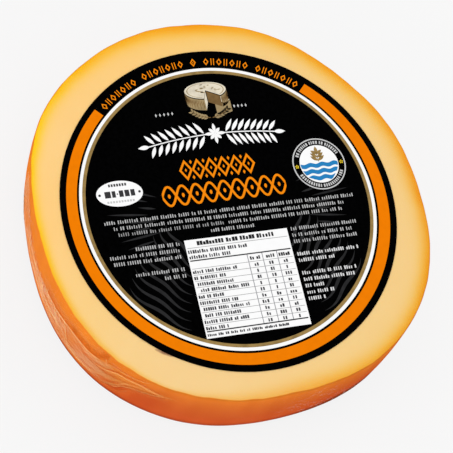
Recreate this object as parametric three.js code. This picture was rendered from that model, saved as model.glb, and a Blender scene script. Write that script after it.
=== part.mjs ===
// A whole wheel of provolone in its tight clear film, lying flat, with a round label on top.
// Millimetres, +Z up. The wheel rests on z = 0 and +Y is the way the label reads upright.
import * as THREE from 'three';

// ---- Driving dimensions ----
const WHEEL_HEIGHT = 60.25;
const EDGE_RADIUS = 123.95; // mean radius of the crisp upper edge
const SIDE_BULGE = 0.8; // how far the side swells past the upper edge at half height
const TOP_EDGE_ROUND = 3.6;
const BOTTOM_EDGE_ROUND = 9.4;
const SHOULDER_WIDTH = 12; // the top face sinks a little over this width, towards its edge
const SHOULDER_FALL = 1.2;
const LABEL_RADIUS = 104.1;
const LABEL_THICKNESS = 0.25;

// The pressed wheel isn't quite round: low waves run round its outline.
const OUTLINE_WAVES = [
  { count: 2, size: 1.8, phase: degrees(-50.5) },
  { count: 3, size: 1.7, phase: degrees(-19.9) },
  { count: 4, size: 1.6, phase: degrees(-41.3) },
  { count: 5, size: 0.44, phase: degrees(10.8) },
  { count: 6, size: 0.37, phase: degrees(21) },
  { count: 7, size: 0.13, phase: degrees(7) },
  { count: 8, size: 0.31, phase: degrees(20) },
  { count: 9, size: 0.18, phase: degrees(-17.8) },
];

// The wheel has settled a little to one side, and its label was stuck on by hand.
const SETTLE_X = 4.2; // shift of the foot against the top face
const SETTLE_Y = -0.6;
const LABEL_SHIFT_X = -1.4; // place of the label against the middle of the top face
const LABEL_SHIFT_Y = -1;

// The gathered film lies in one flat fold along part of the side, and runs out to a tip.
// Each station gives the direction round the wheel and the fold's lower and upper edge.
const FOLD_RISE = 1.1;
const FOLD_SOFTNESS = 3.5; // height over which the fold's edges run out
const FOLD_STATIONS = [
  { angle: degrees(160), low: 30, high: 31 },
  { angle: degrees(175), low: 20, high: 31 },
  { angle: degrees(184), low: 17, high: 40 },
  { angle: degrees(197), low: 16, high: 43 },
  { angle: degrees(213), low: 18, high: 45 },
  { angle: degrees(222), low: 19, high: 47 },
  { angle: degrees(228), low: 35, high: 49 },
  { angle: degrees(234), low: 42, high: 48 },
  { angle: degrees(242), low: 44, high: 45 },
];

// ---- Fineness of the faceted skin ----
const TURNS = 120; // facets round the wheel
const SIDE_STEPS = 12;
const BOTTOM_ROUND_STEPS = 4;
const TOP_ROUND_STEPS = 3;
const SHOULDER_STEPS = 2;

function degrees(value) {
  return THREE.MathUtils.degToRad(value);
}

// Radius of the swelling side at a height, before its edges are rounded.
function sideRadius(height) {
  return EDGE_RADIUS + SIDE_BULGE * Math.sin((Math.PI * height) / WHEEL_HEIGHT);
}

// Half section of the round wheel, from the middle of the foot up to the middle of the top face.
function wheelProfile() {
  const rimHeight = WHEEL_HEIGHT - SHOULDER_FALL;
  const points = [new THREE.Vector2(0, 0)];
  for (let step = 0; step <= BOTTOM_ROUND_STEPS; step += 1) {
    const turn = (step / BOTTOM_ROUND_STEPS) * (Math.PI / 2);
    const height = BOTTOM_EDGE_ROUND * (1 - Math.cos(turn));
    const radius = sideRadius(height) - BOTTOM_EDGE_ROUND * (1 - Math.sin(turn));
    points.push(new THREE.Vector2(radius, height));
  }
  const sideTop = rimHeight - TOP_EDGE_ROUND;
  for (let step = 1; step < SIDE_STEPS; step += 1) {
    const height = THREE.MathUtils.lerp(BOTTOM_EDGE_ROUND, sideTop, step / SIDE_STEPS);
    points.push(new THREE.Vector2(sideRadius(height), height));
  }
  for (let step = 0; step <= TOP_ROUND_STEPS; step += 1) {
    const turn = (step / TOP_ROUND_STEPS) * (Math.PI / 2);
    const height = sideTop + TOP_EDGE_ROUND * Math.sin(turn);
    const radius = sideRadius(height) - TOP_EDGE_ROUND * (1 - Math.cos(turn));
    points.push(new THREE.Vector2(radius, height));
  }
  const shoulderOuter = points.at(-1).x;
  for (let step = 1; step <= SHOULDER_STEPS; step += 1) {
    const share = step / SHOULDER_STEPS;
    const radius = shoulderOuter - SHOULDER_WIDTH * share;
    points.push(new THREE.Vector2(radius, WHEEL_HEIGHT - SHOULDER_FALL * (1 - share) ** 2));
  }
  points.push(new THREE.Vector2(0, WHEEL_HEIGHT));
  return points;
}

// Radius of the outline's waves in one direction, as a share of the mean radius.
function outlineShare(angle) {
  let radius = EDGE_RADIUS;
  for (const wave of OUTLINE_WAVES) {
    radius += wave.size * Math.cos(wave.count * (angle - wave.phase));
  }
  return radius / EDGE_RADIUS;
}

// How far the film's fold stands out of the side in one direction and at one height.
function foldRise(angle, height) {
  const around = angle < 0 ? angle + 2 * Math.PI : angle;
  const last = FOLD_STATIONS.findIndex((station) => station.angle > around);
  if (last < 1) {
    return 0;
  }
  const from = FOLD_STATIONS[last - 1];
  const to = FOLD_STATIONS[last];
  const share = (around - from.angle) / (to.angle - from.angle);
  const low = THREE.MathUtils.lerp(from.low, to.low, share);
  const high = THREE.MathUtils.lerp(from.high, to.high, share);
  const fullness = Math.min(1, (high - low) / (2 * FOLD_SOFTNESS));
  const above = THREE.MathUtils.smoothstep(height, low - FOLD_SOFTNESS, low + FOLD_SOFTNESS);
  const below = 1 - THREE.MathUtils.smoothstep(height, high - FOLD_SOFTNESS, high + FOLD_SOFTNESS);
  return FOLD_RISE * fullness * above * below;
}

// The round section is spun, then every point takes its place on the uneven outline.
function wheelGeometry() {
  const geometry = new THREE.LatheGeometry(wheelProfile(), TURNS);
  geometry.rotateX(Math.PI / 2);
  const position = geometry.getAttribute('position');
  for (let index = 0; index < position.count; index += 1) {
    const x = position.getX(index);
    const y = position.getY(index);
    const height = position.getZ(index);
    const angle = Math.atan2(y, x);
    const round = Math.hypot(x, y);
    const onSide = THREE.MathUtils.smoothstep(round, LABEL_RADIUS, EDGE_RADIUS);
    const radius = round * outlineShare(angle) + onSide * foldRise(angle, height);
    const settled = 1 - height / WHEEL_HEIGHT;
    position.setX(index, radius * Math.cos(angle) + SETTLE_X * settled);
    position.setY(index, radius * Math.sin(angle) + SETTLE_Y * settled);
  }
  return geometry;
}

function makeWheel() {
  const waxyRind = new THREE.MeshStandardMaterial({ color: 0xdb6e2a, roughness: 0.42, metalness: 0 });
  const wheel = new THREE.Mesh(wheelGeometry(), waxyRind);
  wheel.name = 'wheel';
  return wheel;
}

function makeLabel() {
  const geometry = new THREE.CylinderGeometry(LABEL_RADIUS, LABEL_RADIUS, LABEL_THICKNESS, TURNS);
  geometry.rotateX(Math.PI / 2);
  const blackPaper = new THREE.MeshStandardMaterial({ color: 0x050505, roughness: 0.55, metalness: 0 });
  const label = new THREE.Mesh(geometry, blackPaper);
  label.name = 'label';
  label.position.set(LABEL_SHIFT_X, LABEL_SHIFT_Y, WHEEL_HEIGHT + LABEL_THICKNESS / 2);
  return label;
}

// The part's origin is under the middle of its box, on the surface that it lies on.
function makePart() {
  const part = new THREE.Group();
  part.add(makeWheel(), makeLabel());
  const middle = new THREE.Box3().setFromObject(part).getCenter(new THREE.Vector3());
  part.position.set(-middle.x, -middle.y, 0);
  part.updateMatrixWorld(true);
  return part;
}

export default makePart();
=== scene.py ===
# %% [markdown]
# # A wheel of provolone in clear film
# The part is a low, slightly uneven wheel of smoked cheese in tight clear film, with a round paper
# label on its top face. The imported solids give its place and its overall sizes. This script dresses
# them: it models the cheese, the film, the film's fold and the label's print, and paints them all.

# %% Load the solids
import math
import random

import bmesh
import bpy
from mathutils import Matrix, Vector, noise


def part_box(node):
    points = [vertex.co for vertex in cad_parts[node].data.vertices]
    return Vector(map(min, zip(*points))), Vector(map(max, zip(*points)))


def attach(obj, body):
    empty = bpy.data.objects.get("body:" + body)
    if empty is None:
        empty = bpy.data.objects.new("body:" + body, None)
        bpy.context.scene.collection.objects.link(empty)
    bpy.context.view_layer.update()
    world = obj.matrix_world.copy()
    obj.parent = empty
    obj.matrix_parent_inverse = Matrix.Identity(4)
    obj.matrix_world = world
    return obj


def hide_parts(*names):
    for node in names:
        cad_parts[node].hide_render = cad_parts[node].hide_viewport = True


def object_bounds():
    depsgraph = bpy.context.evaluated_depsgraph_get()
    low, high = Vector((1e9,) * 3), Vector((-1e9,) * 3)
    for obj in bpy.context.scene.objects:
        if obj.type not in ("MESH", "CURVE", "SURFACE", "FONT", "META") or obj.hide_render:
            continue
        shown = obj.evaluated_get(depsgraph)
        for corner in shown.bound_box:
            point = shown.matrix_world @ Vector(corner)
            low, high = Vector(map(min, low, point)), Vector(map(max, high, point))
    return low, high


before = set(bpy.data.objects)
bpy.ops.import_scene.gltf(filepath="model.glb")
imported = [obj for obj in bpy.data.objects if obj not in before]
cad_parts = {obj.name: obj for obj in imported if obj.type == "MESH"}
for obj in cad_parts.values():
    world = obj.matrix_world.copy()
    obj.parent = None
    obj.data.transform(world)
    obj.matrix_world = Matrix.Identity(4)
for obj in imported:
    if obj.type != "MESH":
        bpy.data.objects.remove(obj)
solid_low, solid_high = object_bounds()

MM = 0.001
_, wheel_high = map(Vector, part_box("wheel"))
label_low, label_high = map(Vector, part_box("label"))
LABEL_RADIUS = (label_high.x - label_low.x) / 2
LABEL_MIDDLE = (label_low + label_high) / 2
PRINT_OFF = Vector((-0.8, 0.7, 0)) * MM  # the print sits a little off the paper's middle
PRINT_MIDDLE = LABEL_MIDDLE + PRINT_OFF
LABEL_TOP = label_high.z
WHEEL_HEIGHT = wheel_high.z
print("label radius", round(LABEL_RADIUS / MM, 2), "mm, wheel height", round(WHEEL_HEIGHT / MM, 2), "mm")

# %% [markdown]
# ## Camera, light and floor
# A product picture of a flat wheel is taken from well above, with a long lens and the camera turned
# about its own axis. Azimuth, elevation, distance and roll say that more clearly than a matrix. The
# light is a bright even sky with one broad lamp at the left, so that nothing throws a hard shadow.

# %% Camera
CAMERA_AZIMUTH = math.radians(-43.77)
CAMERA_ELEVATION = math.radians(62.56)
CAMERA_ROLL = math.radians(33.37)
CAMERA_DISTANCE = 999 * MM
CAMERA_LENS = 133.77
SENSOR_WIDTH = 36
NEAREST_SEEN, FARTHEST_SEEN = 0.05, 20  # metres
AIM_OFF = Vector((-5.98, -13.58, 0)) * MM  # from the print's middle to the middle of the picture
AIM = Vector((PRINT_MIDDLE.x, PRINT_MIDDLE.y, LABEL_TOP)) + AIM_OFF


def direction(azimuth, elevation):
    """Unit vector from the object to something at this azimuth and elevation."""
    level = math.cos(elevation)
    return Vector((math.sin(azimuth) * level, -math.cos(azimuth) * level, math.sin(elevation)))


def add_camera():
    lens = bpy.data.cameras.new("camera")
    lens.lens = CAMERA_LENS
    lens.sensor_width = SENSOR_WIDTH
    lens.clip_start = NEAREST_SEEN
    lens.clip_end = FARTHEST_SEEN
    camera = bpy.data.objects.new("camera", lens)
    bpy.context.scene.collection.objects.link(camera)
    back = direction(CAMERA_AZIMUTH, CAMERA_ELEVATION)
    stand = Matrix.Translation(AIM + back * CAMERA_DISTANCE)
    level = (-back).to_track_quat("-Z", "Y").to_matrix().to_4x4()
    camera.matrix_world = stand @ level @ Matrix.Rotation(CAMERA_ROLL, 4, "Z")
    bpy.context.scene.camera = camera
    print("camera stands", round(CAMERA_DISTANCE, 3), "m away with a", CAMERA_LENS, "mm lens")


add_camera()

# %% Sky, lamps and floor
SKY_STRENGTH = 0.89
LAMPS = (  # name, azimuth, elevation, distance, size, watts
    ("left_lamp", -95, 32, 1.4, 1.0, 3.2),
    ("front_lamp", -10, 34, 1.5, 1.0, 1.4),
    ("back_lamp", 120, 48, 1.6, 1.2, 2.8),
)


def add_lamp(name, azimuth, elevation, distance, size, watts):
    lamp = bpy.data.lights.new(name, "AREA")
    lamp.shape = "DISK"
    lamp.size = size
    lamp.energy = watts
    holder = bpy.data.objects.new(name, lamp)
    away = direction(math.radians(azimuth), math.radians(elevation))
    holder.location = AIM + away * distance
    holder.rotation_mode = "QUATERNION"
    holder.rotation_quaternion = away.to_track_quat("Z", "Y")
    bpy.context.scene.collection.objects.link(holder)


def add_sky():
    world = bpy.data.worlds.new("studio")
    world.use_nodes = True
    sky = world.node_tree.nodes["Background"]
    sky.inputs["Color"].default_value = (1, 1, 1, 1)
    sky.inputs["Strength"].default_value = SKY_STRENGTH
    bpy.context.scene.world = world
    bpy.context.scene.view_settings.view_transform = "Standard"


add_sky()
for lamp_facts in LAMPS:
    add_lamp(*lamp_facts)

# %% [markdown]
# ## Helpers for materials
# Colours are given as they should look on a screen, so a helper turns screen values into the
# linear light that Blender works in. Another adds a node and fills its inputs in one call. The rest
# name what a node or two do together, which keeps each material down to the few lines that matter.

# %% Helpers for materials
LIGHT_ON_TOP = 1.07  # how much brighter than its own colour a face shows that lies open to sky and lamps


def paint(red, green, blue, light=LIGHT_ON_TOP):
    """The surface colour that shows as this screen colour, 0 to 255, in that much light."""
    def linear(value):
        value = value / 255
        return value / 12.92 if value <= 0.04045 else ((value + 0.055) / 1.055) ** 2.4
    return (*(min(0.98, linear(value) / light) for value in (red, green, blue)), 1.0)


def add(tree, kind, inputs=None, **settings):
    """A new shader node with its settings, and its inputs filled or linked."""
    made = tree.nodes.new("ShaderNode" + kind)
    for key, value in settings.items():
        setattr(made, key, value)
    for key, value in (inputs or {}).items():
        if isinstance(value, bpy.types.NodeSocket):
            tree.links.new(value, made.inputs[key])
        else:
            made.inputs[key].default_value = value
    return made


def math_node(tree, operation, first, second=0.0, clamp=False):
    """The output of one Math node."""
    return add(tree, "Math", {0: first, 1: second}, operation=operation, use_clamp=clamp).outputs[0]


def map_range(tree, value, low, high, to_low=0.0, to_high=1.0, smooth=True):
    """A value carried from one range to another, clamped at both ends."""
    kind = "SMOOTHSTEP" if smooth else "LINEAR"
    facts = {"Value": value, "From Min": low, "From Max": high, "To Min": to_low, "To Max": to_high}
    return add(tree, "MapRange", facts, interpolation_type=kind).outputs["Result"]


def ramp(tree, factor, stops):
    """A colour ramp from (place, colour) pairs."""
    made = add(tree, "ValToRGB", {"Fac": factor})
    elements = made.color_ramp.elements
    elements[0].position, elements[0].color = stops[0]
    elements[1].position, elements[1].color = stops[-1]
    for place, colour in stops[1:-1]:
        elements.new(place).color = colour
    return made.outputs["Color"]


def mix_colour(tree, factor, first, second, blend="MIX"):
    """One colour mixed into another."""
    made = tree.nodes.new("ShaderNodeMix")
    made.data_type = "RGBA"
    made.blend_type = blend
    for socket, value in ((made.inputs[0], factor), (made.inputs[6], first), (made.inputs[7], second)):
        if isinstance(value, bpy.types.NodeSocket):
            tree.links.new(value, socket)
        else:
            socket.default_value = value
    return made.outputs[2]


def grey(value):
    return (value, value, value, 1)


def cloud(tree, place, scale, detail, distortion=0.0):
    """The value of a noise pattern, mostly between 0.3 and 0.7."""
    facts = {"Vector": place, "Scale": scale, "Detail": detail, "Distortion": distortion}
    return add(tree, "TexNoise", facts).outputs["Fac"]


def stretched(tree, place, scale):
    """Coordinates scaled differently each way, so that a pattern on them is drawn out."""
    return add(tree, "Mapping", {"Vector": place, "Scale": scale}).outputs[0]


def from_point(tree, place, point):
    return add(tree, "VectorMath", {0: place, 1: point}, operation="SUBTRACT").outputs[0]


def reach_towards(tree, place, heading):
    """How far a place lies along a heading, times the heading's own length."""
    return add(tree, "VectorMath", {0: place, 1: heading}, operation="DOT_PRODUCT").outputs["Value"]


def stored(tree, name):
    """A value that the modelling has left on each point of the mesh."""
    return add(tree, "Attribute", attribute_name=name).outputs["Fac"]


def roughen(tree, shader, height, strength, distance):
    """Relief finer than the mesh, by bump."""
    bump = add(tree, "Bump", {"Strength": strength, "Distance": distance, "Height": height})
    tree.links.new(bump.outputs[0], shader.inputs["Normal"])


def new_material(name, roughness, specular):
    """A material with its tree, its shader and its object coordinates."""
    material = bpy.data.materials.new(name)
    material.use_nodes = True
    tree = material.node_tree
    shader = tree.nodes["Principled BSDF"]
    shader.inputs["Roughness"].default_value = roughness
    shader.inputs["Specular IOR Level"].default_value = specular
    place = tree.nodes.new("ShaderNodeTexCoord").outputs["Object"]
    return material, tree, shader, place


# %% The floor and its paper
FLOOR_HALF = 4.0
FLOOR_DROP = 0.2 * MM
FLOOR_SEEN = (247, 247, 247)
FLOOR_OWN_LIGHT = 0.9  # share of the floor's brightness that shadows can't take away


def floor_paper():
    """Paper on a light table: it glows, so it stays even and shows only a trace of shadow."""
    material, tree, shader, place = new_material("studio_paper", 0.9, 0.0)
    grain = cloud(tree, place, 9.0, 2.0)
    white = paint(*FLOOR_SEEN, 1.0)[0]
    lit = white * (1 - FLOOR_OWN_LIGHT)
    tone = ramp(tree, grain, ((0.3, grey(lit * 0.97)), (0.7, grey(lit * 1.03))))
    tree.links.new(tone, shader.inputs["Base Color"])
    shader.inputs["Emission Color"].default_value = grey(1)
    shader.inputs["Emission Strength"].default_value = white * FLOOR_OWN_LIGHT
    return material


def make_object(name, work, material, smooth=False):
    """Turns a bmesh into an object at the origin, with its place in its mesh."""
    mesh = bpy.data.meshes.new(name)
    work.to_mesh(mesh)
    work.free()
    mesh.materials.append(material)
    if smooth:
        mesh.shade_smooth()
    made = bpy.data.objects.new(name, mesh)
    bpy.context.scene.collection.objects.link(made)
    return made


def add_floor():
    work = bmesh.new()
    bmesh.ops.create_grid(work, x_segments=4, y_segments=4, size=FLOOR_HALF)
    bmesh.ops.translate(work, verts=work.verts, vec=(0, 0, solid_low.z - FLOOR_DROP))
    floor = make_object("floor", work, floor_paper())


add_floor()

# %% [markdown]
# ## The form of the wheel
# A pressed cheese is a turned form that isn't quite round. It could be sculpted, but spinning half a
# section and then pushing each point out by a few low waves keeps the form the same as the solid's,
# and any fineness can be asked for. The cheese and its film are both made from this one recipe.

# %% The wheel's measures
EDGE_RADIUS = 123.95 * MM
SIDE_BULGE = 0.8 * MM
TOP_ROUND = 3.6 * MM
BOTTOM_ROUND = 9.4 * MM
SHOULDER_WIDTH = 12 * MM
SHOULDER_FALL = 1.2 * MM
RIM_HEIGHT = WHEEL_HEIGHT - SHOULDER_FALL
EDGE_HEIGHT = RIM_HEIGHT - TOP_ROUND * 0.3  # where the rounded upper edge looks crisp
TOP_SHARES = (0.9, 0.8, 0.5, 0.0)  # points of the flat top, as shares of its radius
WAVES = (  # count round the outline, height in mm, direction of a crest in degrees
    (2, 1.8, -50.5), (3, 1.7, -19.9), (4, 1.6, -41.3), (5, 0.44, 10.8),
    (6, 0.37, 21.0), (7, 0.13, 7.0), (8, 0.31, 20.0), (9, 0.18, -17.8),
)
SETTLE = Vector((4.2, -0.6, 0)) * MM  # how far the foot has slipped against the top face
LABEL_OFF = Vector((-1.4, -1.0, 0)) * MM  # the label's place against the middle of the top face
AXIS = Vector((LABEL_MIDDLE.x, LABEL_MIDDLE.y, 0)) - LABEL_OFF
FOLD_RISE = 1.1 * MM
FOLD_SOFTNESS = 3.5 * MM
FOLD = (  # direction in degrees, lower edge and upper edge in mm
    (160, 30, 31), (175, 20, 31), (184, 17, 40), (197, 16, 43), (213, 18, 45),
    (222, 19, 47), (228, 35, 49), (234, 42, 48), (242, 44, 45),
)


def smoothstep(value, low, high):
    share = min(1.0, max(0.0, (value - low) / (high - low)))
    return share * share * (3 - 2 * share)


def creased(x, y, z, steep):
    """Relief of at most 1 that is sharp along the lines where the noise passes through nought."""
    return 1 - steep * abs(noise.noise(Vector((x, y, z))))


def side_radius(height):
    return EDGE_RADIUS + SIDE_BULGE * math.sin(math.pi * height / WHEEL_HEIGHT)


def outline_share(angle):
    """The uneven outline's radius in one direction, as a share of the mean."""
    extra = sum(size * MM * math.cos(count * (angle - math.radians(phase))) for count, size, phase in WAVES)
    return 1 + extra / EDGE_RADIUS


def along_table(table, degrees):
    """The values of a table of directions between its two nearest rows, or None beside it."""
    for (start, *values), (end, *next_values) in zip(table, table[1:]):
        if start <= degrees < end:
            share = (degrees - start) / (end - start)
            return [value + (after - value) * share for value, after in zip(values, next_values)]
    return None


def fold_rise(angle, height):
    """How far the gathered film stands out of the side."""
    edges = along_table(FOLD, math.degrees(angle) % 360)
    if edges is None:
        return 0.0
    low, high = (edge * MM for edge in edges)
    fullness = min(1.0, (high - low) / (2 * FOLD_SOFTNESS))
    above = smoothstep(height, low - FOLD_SOFTNESS, low + FOLD_SOFTNESS)
    below = 1 - smoothstep(height, high - FOLD_SOFTNESS, high + FOLD_SOFTNESS)
    return FOLD_RISE * fullness * above * below


def half_section(step, under):
    """Points of half the round wheel's section, foot to top, 'under' inside its true surface."""
    points = [Vector((0, 0, 0)), Vector((side_radius(0) - 2 * BOTTOM_ROUND, 0, 0))]
    turns = max(4, round(BOTTOM_ROUND * math.pi / 2 / step))
    for index in range(turns + 1):
        turn = index / turns * math.pi / 2
        height = BOTTOM_ROUND * (1 - math.cos(turn))
        points.append(Vector((side_radius(height) - BOTTOM_ROUND * (1 - math.sin(turn)), 0, height)))
    side_top = RIM_HEIGHT - TOP_ROUND
    rows = round((side_top - BOTTOM_ROUND) / step)
    for index in range(1, rows):
        height = BOTTOM_ROUND + (side_top - BOTTOM_ROUND) * index / rows
        points.append(Vector((side_radius(height), 0, height)))
    turns = max(6, round(TOP_ROUND * math.pi / step))
    for index in range(turns + 1):
        turn = index / turns * math.pi / 2
        height = side_top + TOP_ROUND * math.sin(turn)
        points.append(Vector((side_radius(height) - TOP_ROUND * (1 - math.cos(turn)), 0, height)))
    outer = points[-1].x
    rows = round(SHOULDER_WIDTH / step)
    for index in range(1, rows + 1):
        share = index / rows
        height = WHEEL_HEIGHT - SHOULDER_FALL * (1 - share) ** 2
        points.append(Vector((outer - SHOULDER_WIDTH * share, 0, height)))
    for share in TOP_SHARES:
        points.append(Vector(((outer - SHOULDER_WIDTH) * share, 0, WHEEL_HEIGHT)))
    middle = WHEEL_HEIGHT / 2
    for point in points:
        point.z = middle + (point.z - middle) * (1 - under / middle)
        point.x *= 1 - under / EDGE_RADIUS
    return points


def walks(points):
    """Distance from the crisp upper edge along the section: negative on top, positive down the side."""
    lengths = [0.0]
    for first, second in zip(points, points[1:]):
        lengths.append(lengths[-1] + (second - first).length)
    edge = max(length for point, length in zip(points, lengths) if point.z < EDGE_HEIGHT)
    return [edge - length for length in lengths]


def spun_wheel(step, turns, under):
    """The round wheel as a bmesh, each point knowing its walk from the upper edge."""
    work = bmesh.new()
    layer = work.verts.layers.float.new("walk")
    points = half_section(step, under)
    corners = [work.verts.new(point) for point in points]
    for corner, walk in zip(corners, walks(points)):
        corner[layer] = walk
    edges = [work.edges.new(pair) for pair in zip(corners, corners[1:])]
    bmesh.ops.spin(work, geom=corners + edges, cent=(0, 0, 0), axis=(0, 0, 1),
                   angle=2 * math.pi, steps=turns, use_merge=True)
    bmesh.ops.remove_doubles(work, verts=work.verts, dist=0.001 * MM)
    bmesh.ops.recalc_face_normals(work, faces=work.faces)
    return work, layer


def placed(x, y, height, fold_share, relief):
    """Where a point of the round wheel lies on the true, uneven one."""
    angle = math.atan2(y, x)
    flat = math.hypot(x, y)
    on_side = smoothstep(flat, LABEL_RADIUS, EDGE_RADIUS)
    radius = flat * outline_share(angle) + on_side * (fold_share * fold_rise(angle, height) + relief)
    settled = SETTLE * (1 - height / WHEEL_HEIGHT)
    return Vector((radius * math.cos(angle), radius * math.sin(angle), height)) + settled + AXIS


print("half section has", len(half_section(1.5 * MM, 0)), "points at 1.5 mm")

# %% [markdown]
# ## The cheese
# Under the film the rind is waxy and slightly uneven: shallow swells, a few small pits and a rim that
# wanders. Relief this shallow still catches the light, so it is moved into the mesh, and only the
# pores, finer than the mesh, are left to bump.

# %% Model the cheese
CHEESE_STEP = 1.4 * MM
CHEESE_TURNS = 540
FILM_GAP = 0.1 * MM
SWELL = 0.14 * MM
BROAD_SCALE, FINE_SCALE = 38, 110  # of the swells and of the smaller ones on them
RIM_WANDER = 0.3 * MM
WANDER_REACH = 5 * MM
WANDER_SCALE = 95
CHEESE_FOLD_SHARE = 0.8  # how much of the fold's rise the cheese under it follows
PITS = 46
PIT_SEED = 7
PIT_WALKS = ((-17, -3), (4, 44))  # on the top's open ring and on the side, in mm from the edge
PIT_SIZE = (0.8, 2.2)
PIT_DEPTH = (0.08, 0.3)


def rim_wander(place, walk):
    """How far the worn upper edge strays in or out."""
    near_edge = math.exp(-(walk / WANDER_REACH) ** 2)
    return RIM_WANDER * near_edge * noise.noise(Vector((place.x, place.y, 0)) * WANDER_SCALE)


def rind_pits():
    """Places and sizes of the small shallow pits, on the side and on the open ring of the top."""
    draw = random.Random(PIT_SEED)
    pits = []
    for _ in range(PITS):
        angle = draw.uniform(-math.pi, math.pi)
        walk = draw.choice([draw.uniform(*span) for span in PIT_WALKS]) * MM
        pits.append((angle, walk, draw.uniform(*PIT_SIZE) * MM, draw.uniform(*PIT_DEPTH) * MM))
    return pits


def pit_depth(angle, walk, pits):
    depth = 0.0
    for pit_angle, pit_walk, size, deep in pits:
        if abs(walk - pit_walk) < 3 * size:
            across = math.remainder(angle - pit_angle, 2 * math.pi) * EDGE_RADIUS
            reach = (across * across + (walk - pit_walk) ** 2) / (size * size)
            if reach < 9:
                depth += deep * math.exp(-reach)
    return depth


def model_cheese():
    work, layer = spun_wheel(CHEESE_STEP, CHEESE_TURNS, FILM_GAP)
    pits = rind_pits()
    for corner in work.verts:
        x, y, height = corner.co
        angle = math.atan2(y, x)
        walk = corner[layer]
        broad = noise.noise(corner.co * BROAD_SCALE) + 0.5 * noise.noise(corner.co * FINE_SCALE)
        wander = rim_wander(corner.co, walk)
        hollow = pit_depth(angle, walk, pits)
        on_top = smoothstep(-walk, 0, 4 * MM)
        relief = (broad * SWELL - hollow) * (1 - on_top) + wander - SWELL
        corner.co = placed(x, y, height, CHEESE_FOLD_SHARE, relief)
        open_top = on_top * smoothstep(math.hypot(x, y), LABEL_RADIUS - 6 * MM, LABEL_RADIUS + 3 * MM)
        corner.co.z += open_top * (0.35 * SWELL * broad - hollow - 0.1 * MM)
    return work


cheese_work = model_cheese()
print("cheese mesh has", len(cheese_work.faces), "faces")

# %% [markdown]
# The colour follows the section: cream on top, a golden or orange rim where the smoke has caught the
# edge, orange down the side and redder towards the foot. The dark band at the foot and a thin dark
# line just under the edge are painted shade, where the form turns away from the light. The walk from
# the upper edge is stored on each point, so colour bands follow the uneven form. Smoke stains as a dye
# does: each more of it takes away the same share of light, blue most and red least. So the top's
# colour is the cream times the exponent of minus the stain, which gives clear yellow before orange, as
# on the real rind. Which dye and how far it spreads depends on the direction round the wheel. The cream
# is lighter at the left, painted light from that side, and a redder patch low on the side under the
# tip of the film's fold is painted shade.

# %% Colours of the rind
# The cream is lighter at the left, painted light from that side.
RIM = (  # direction in degrees, cream, colour at the edge, its spread over the top and its reach down in mm
    (-180, (254, 207, 131), (252, 196, 32), 2.6, -0.2),
    (-150, (250, 209, 137), (247, 182, 66), 2.2, -1.0),
    (-120, (247, 209, 145), (248, 198, 120), 1.2, 0.2),
    (-85, (247, 208, 141), (245, 180, 82), 5.4, -0.2),
    (-58, (246, 208, 139), (245, 168, 44), 4.9, 1.0),
    (-30, (247, 208, 139), (242, 160, 36), 5.0, 0.2),
    (0, (247, 208, 139), (242, 152, 34), 6.0, 0.0),
    (30, (247, 208, 139), (245, 158, 34), 6.5, -0.4),
    (60, (247, 208, 139), (249, 165, 36), 6.8, 0.1),
    (92, (250, 206, 127), (248, 162, 30), 6.4, -0.3),
    (120, (254, 207, 129), (252, 177, 28), 5.2, 0.1),
    (150, (254, 209, 136), (254, 203, 22), 3.8, 0.8),
    (166, (254, 208, 133), (253, 201, 34), 2.8, 0.8),
    (180, (254, 207, 131), (252, 196, 32), 2.6, -0.2),
)
SPREAD_SCALE = 8  # mm of spread that a ramp's full white stands for
DYE_SCALE = 4  # strength of dye that it stands for
DOWN_SCALE = 2  # and mm of reach down, from -1 up
FADE_POWER = 1.5
SIDE_LIGHT = 0.93
# Orange, redder towards the foot. The dip at 0.8 mm is a painted line of shade just under the edge, and the
# dark band from 47 mm down is painted shade where the rounding turns under.
DOWN_THE_SIDE = (  # walk in mm, colour
    (0, (236, 150, 48)),
    (0.8, (204, 112, 34)),
    (1.6, (216, 118, 38)),
    (3.0, (223, 118, 40)),
    (9, (215, 109, 40)),
    (18, (208, 99, 39)),
    (32, (202, 88, 38)),
    (43, (203, 84, 38)),
    (47, (184, 72, 33)),
    (51, (140, 58, 28)),
    (60, (118, 52, 28)),
)
LEFT_SIDE = paint(238, 131, 41, 1.02)
LEFT_HEADING = (-7.9, -1.0, 0)  # a heading is as long as it takes for the side to lie about 1 along it
RIGHT_SIDE_TONE = (0.89, 0.88, 0.86, 1)
# Painted shade: the redder patch low on the side, under the tip of the film's fold, where the fold shades the
# side.
FOLD_SHADE_TONE = (0.90, 0.68, 0.84, 1)  # the redder patch low on the side, under the tip of the film's fold
FOLD_SHADE_HEADING = (-5.62, -5.82, 0)
# The dark foot is painted shade, and on the right it begins higher.
EARLY_FOOT = 12  # how much higher, in mm, the dark foot begins on the right side
FOOT_AT_BACK = 0.2  # share of that which is left at the back
STRAY = (0.55, 1.45)  # how far in mm the side's colour reaches over the edge, at least and at most
TOP_TO_SIDE = (-0.1, 0.45)  # walk in mm over which the top's colour gives way to the side's
# From where to where, along the heading to the left or to the patch of painted shade under the fold's tip,
# each effect comes or goes.
LEFT_COMES_IN = (0.5, 0.98)
RIGHT_COMES_IN = (0.1, -0.45)
TONE_GOES_OUT = (-0.5, 0.4)
FOLD_SHADE_COMES_IN = (0.955, 0.995)
BACK_COMES_IN = (0.05, -0.7)
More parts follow.
